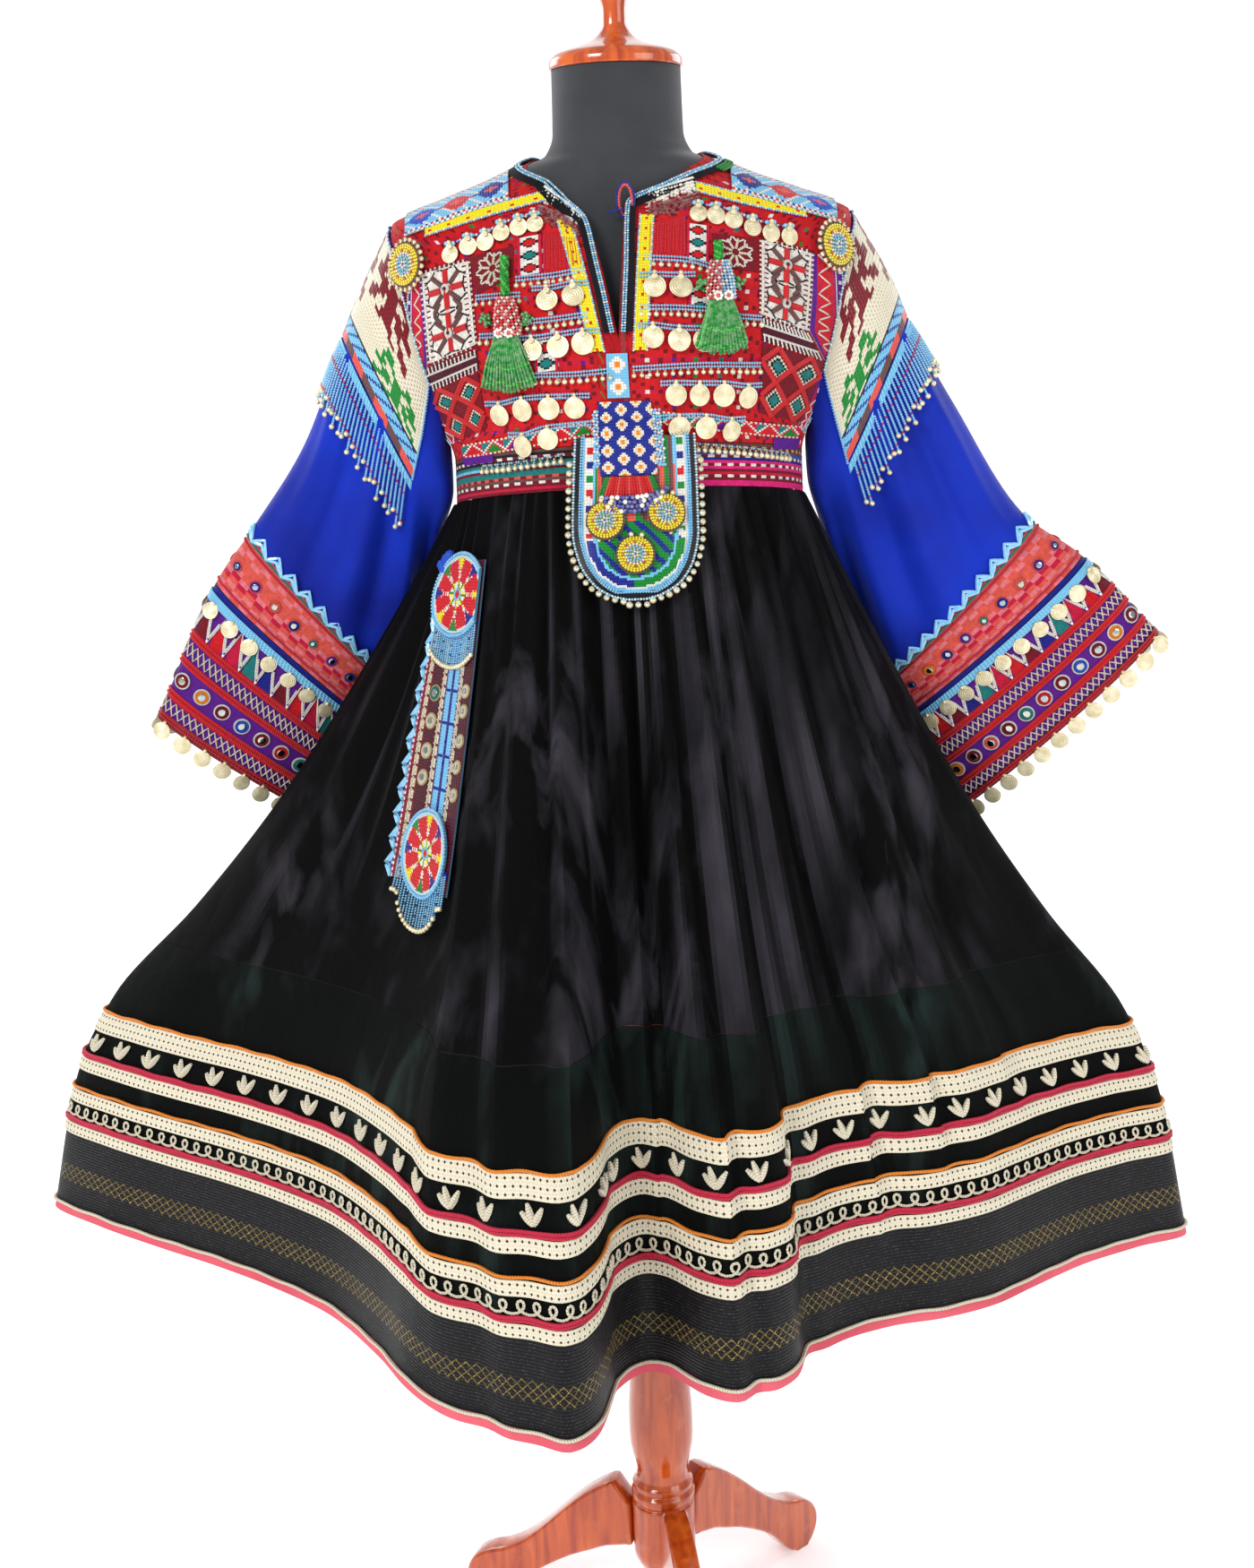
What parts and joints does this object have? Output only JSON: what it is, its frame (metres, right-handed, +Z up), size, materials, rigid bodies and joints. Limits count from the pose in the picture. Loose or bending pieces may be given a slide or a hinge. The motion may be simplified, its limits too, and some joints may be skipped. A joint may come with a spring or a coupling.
{
  "type": "kuchi dress on a dress form",
  "caption": "Long embroidered dress with gathered velvet skirt, wide sleeves, coin rows, tassels and beadwork, worn by a limbless dress form on a three-legged wooden stand.",
  "frame": {"origin": "on the floor, under the middle of the outline seen from above", "axes": "+Z up, -Y towards the front of the dress, +X towards the right of someone who faces that front"},
  "size_m": [1.1192, 0.7992, 1.687],
  "materials": {
    "velvet": "soft pile",
    "velvet_green": "soft pile",
    "lurex": "faint metallic lines",
    "cream_braid": "woven",
    "pink_binding": "woven",
    "embroidery": "embroidered",
    "waistband": "embroidered",
    "black_cloth": "woven",
    "yellow_beads": "beadwork",
    "light_blue_beads": "beadwork",
    "white_cloth": "embroidered",
    "navy_cloth": "woven",
    "green_wool": "wool",
    "coins": "worn",
    "royal_blue": "smooth cotton",
    "coral_cloth": "mirror work",
    "crimson_cloth": "mirror work",
    "form_cloth": "matt",
    "lacquered_wood": "gloss lacquer"
  },
  "bodies": {
    "root": {"skirt_upper_front": "velvet", "skirt_upper_back": "velvet", "skirt_lower_front": "velvet_green", "skirt_lower_back": "velvet_green", "skirt_border": "lurex", "hem_binding": "pink_binding", "braid_upper": "cream_braid", "braid_lower": "cream_braid", "bodice_front": "embroidery", "bodice_back": "embroidery", "medallion_upper": "embroidery", "medallion_lower": "embroidery", "waistband": "waistband", "neckband": "black_cloth", "pendant_panel": "black_cloth", "slit_braid_left": "yellow_beads", "slit_braid_right": "yellow_beads", "shoulder_rosette_left": "yellow_beads", "shoulder_rosette_right": "yellow_beads", "pendant_rosette_left": "yellow_beads", "pendant_rosette_right": "yellow_beads", "pendant_rosette_low": "yellow_beads", "chest_coins_1_left": "coins", "chest_coins_1_right": "coins", "chest_coins_2_left": "coins", "chest_coins_2_right": "coins", "chest_coins_3_left": "coins", "chest_coins_3_right": "coins", "chest_coins_4": "coins", "shoulder_coins_left": "coins", "shoulder_coins_right": "coins", "cuff_coins_left": "coins", "cuff_coins_right": "coins", "hem_coins_left": "coins", "hem_coins_right": "coins", "shoulder_yoke_left": "light_blue_beads", "shoulder_yoke_right": "light_blue_beads", "strap": "light_blue_beads", "medallion_fringe_upper": "light_blue_beads", "medallion_fringe_lower": "light_blue_beads", "sleeve_beads_left": "light_blue_beads", "sleeve_beads_right": "light_blue_beads", "tassel_left": "green_wool", "tassel_right": "green_wool", "pendant_patch": "navy_cloth", "sleeve_left": "royal_blue", "sleeve_right": "royal_blue", "sleeve_band_left": "coral_cloth", "sleeve_band_right": "coral_cloth", "cuff_left": "crimson_cloth", "cuff_right": "crimson_cloth", "sleeve_patch_left": "white_cloth", "sleeve_patch_right": "white_cloth", "dress_form": "form_cloth", "cap": "lacquered_wood", "post": "lacquered_wood", "leg_1": "lacquered_wood", "leg_2": "lacquered_wood", "leg_3": "lacquered_wood"}
  },
  "joints": []
}
